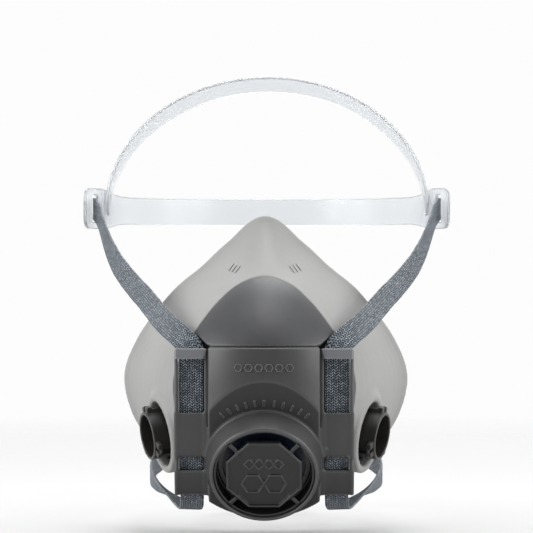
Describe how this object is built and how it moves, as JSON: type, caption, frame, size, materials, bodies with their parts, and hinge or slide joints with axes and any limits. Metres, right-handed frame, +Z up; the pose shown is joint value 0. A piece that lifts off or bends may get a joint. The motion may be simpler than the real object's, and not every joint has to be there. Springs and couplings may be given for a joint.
{
  "type": "reusable half-mask respirator",
  "caption": "Reusable elastomer half-mask with two side bayonet filter ports, a front exhalation valve under a clip-on yoke, elastic webbing and a clear head cradle.",
  "frame": {"origin": "centre of the face opening, level with the bridge of the lip between chin and nose", "axes": "-Y is forwards, the way the wearer looks; +Z is up; +X is the wearer's left, which is the right of the mask seen from the front"},
  "size_m": [0.1776, 0.2512, 0.2084],
  "materials": {
    "seal": "soft matt elastomer",
    "shell": "fine satin texture",
    "valve_seat": "satin",
    "gasket": "matt",
    "flap": "smooth",
    "yoke": "fine satin texture",
    "grille": "satin",
    "strap_bar": "satin",
    "port": "satin",
    "webbing": "woven",
    "cradle": "clear gloss",
    "clasp": "satin"
  },
  "bodies": {
    "facepiece": {"face_seal": "seal", "front_shell": "shell", "exhalation_seat": "valve_seat", "exhalation_gasket": "gasket", "left_port": "port", "right_port": "port", "left_port_gasket": "gasket", "right_port_gasket": "gasket", "left_inhalation_seat": "valve_seat", "right_inhalation_seat": "valve_seat"},
    "exhalation_valve": {"exhalation_flap": "flap"},
    "left_inhalation_valve": {"left_inhalation_flap": "flap"},
    "right_inhalation_valve": {"right_inhalation_flap": "flap"},
    "harness": {"yoke": "yoke", "valve_grille": "grille", "left_strap_bar": "strap_bar", "right_strap_bar": "strap_bar", "left_upper_strap": "webbing", "right_upper_strap": "webbing", "left_lower_strap": "webbing", "right_lower_strap": "webbing", "clasp_eye": "clasp"},
    "cradle": {"head_cradle": "cradle", "left_cradle_loop": "webbing", "right_cradle_loop": "webbing", "crown_band": "cradle"},
    "hook": {"clasp_hook": "clasp"}
  },
  "joints": [
    {"name": "exhalation_lift", "type": "slide", "parent": "facepiece", "child": "exhalation_valve", "axis": [0, -0.8829, -0.4695], "range_m": [0, 0.0015], "stiffness_N_per_m": 30, "springref_m": -0.001},
    {"name": "left_inhalation_lift", "type": "slide", "parent": "facepiece", "child": "left_inhalation_valve", "axis": [0.9305, 0.3295, 0.1599], "range_m": [0, 0.0012], "stiffness_N_per_m": 20, "springref_m": -0.0006},
    {"name": "right_inhalation_lift", "type": "slide", "parent": "facepiece", "child": "right_inhalation_valve", "axis": [-0.9305, 0.3295, 0.1599], "range_m": [0, 0.0012], "stiffness_N_per_m": 20, "springref_m": -0.0006},
    {"name": "yoke_release", "type": "slide", "parent": "facepiece", "child": "harness", "axis": [0, -0.8829, -0.4695], "range_m": [0, 0.02]},
    {"name": "cradle_tilt", "type": "hinge", "parent": "harness", "child": "cradle", "pos_m": [0, 0.0827, 0.0782], "axis": [1, 0, 0], "range_deg": [-30, 30]},
    {"name": "clasp_unhook", "type": "slide", "parent": "harness", "child": "hook", "axis": [0, 1, 0], "range_m": [0, 0.004]}
  ]
}
